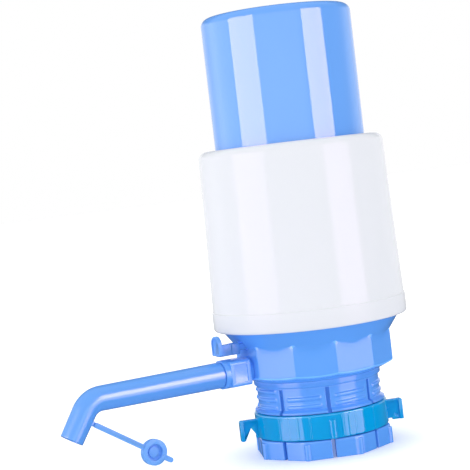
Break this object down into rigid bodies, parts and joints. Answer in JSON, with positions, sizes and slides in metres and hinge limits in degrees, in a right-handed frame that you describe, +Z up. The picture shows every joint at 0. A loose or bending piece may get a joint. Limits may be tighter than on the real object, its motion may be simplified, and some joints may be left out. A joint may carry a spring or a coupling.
{
  "type": "manual bottle pump",
  "caption": "Manual press pump for a large water bottle: sprung cap over a bellows in a sleeve, swivelling spout with tethered plug, and a finger clamp with a lock ring.",
  "frame": {"origin": "centre of the underside of the clamp feet, on the axis of the pump", "axes": "+Z up along the pump's axis towards the press cap, -X along the spout"},
  "size_m": [0.1829, 0.0946, 0.214],
  "materials": {
    "blue_plastic": "moulded, glossy",
    "clear_cyan_plastic": "tinted, slightly translucent",
    "soft_blue_plastic": "soft, slightly translucent",
    "white_plastic": "moulded, glossy",
    "inner_plastic": "moulded, matt",
    "bellows_rubber": "soft, matt",
    "seal_rubber": "soft, matt, white silicone",
    "steel": "drawn wire and plated screws"
  },
  "bodies": {
    "base": {"clamp_collar": "blue_plastic", "neck_web": "inner_plastic", "neck_gasket": "seal_rubber", "water_elbow": "inner_plastic", "base_floor": "blue_plastic", "base_body": "blue_plastic", "spout_socket": "blue_plastic", "lever_pin": "steel", "outlet_valve": "seal_rubber", "outer_sleeve": "white_plastic", "bellows": "bellows_rubber", "bellows_base_plate": "inner_plastic", "bellows_base_ring": "inner_plastic", "base_screws": "steel", "return_spring": "steel", "vent_spring": "steel"},
    "cap": {"press_cap": "blue_plastic", "bellows_top_plate": "inner_plastic", "bellows_top_ring": "inner_plastic", "cap_screws": "steel", "intake_valve": "seal_rubber"},
    "ring": {"lock_ring": "clear_cyan_plastic"},
    "spout": {"spout_tube": "blue_plastic", "spout_oring": "seal_rubber"},
    "plug": {"tether_plug": "soft_blue_plastic"},
    "lever": {"release_lever": "soft_blue_plastic"},
    "vent": {"vent_valve": "inner_plastic", "vent_seal": "seal_rubber", "vent_retainer": "inner_plastic"}
  },
  "joints": [
    {"name": "cap_press", "type": "slide", "parent": "base", "child": "cap", "axis": [0, 0, -1], "range_m": [0, 0.055], "stiffness_N_per_m": 150, "springref_m": -0.05, "deforming": ["bellows", "return_spring"]},
    {"name": "ring_turn", "type": "hinge", "parent": "base", "child": "ring", "pos_m": [0, 0, 0.0152], "axis": [0, 0, 1], "range_deg": [0, 270]},
    {"name": "spout_swivel", "type": "hinge", "parent": "base", "child": "spout", "pos_m": [-0.045, 0, 0.0443], "axis": [-1, 0, 0], "range_deg": [-90, 90]},
    {"name": "plug_flex", "type": "hinge", "parent": "spout", "child": "plug", "pos_m": [-0.11824, 0, 0.03243], "axis": [0, 1, 0], "range_deg": [-25, 60], "stiffness_Nm_per_rad": 0.02},
    {"name": "lever_lift", "type": "hinge", "parent": "base", "child": "lever", "pos_m": [-0.032, 0, 0.0562], "axis": [0, 1, 0], "range_deg": [0, 6], "stiffness_Nm_per_rad": 0.05, "springref_deg": -5.73},
    {"name": "vent_open", "type": "slide", "parent": "base", "child": "vent", "axis": [0, 0, -1], "range_m": [0, 0.0009], "deforming": ["vent_spring"]}
  ],
  "couplings": [
    {"joint": "vent_open", "follows": "lever_lift", "m_per_rad": 0.0075}
  ]
}
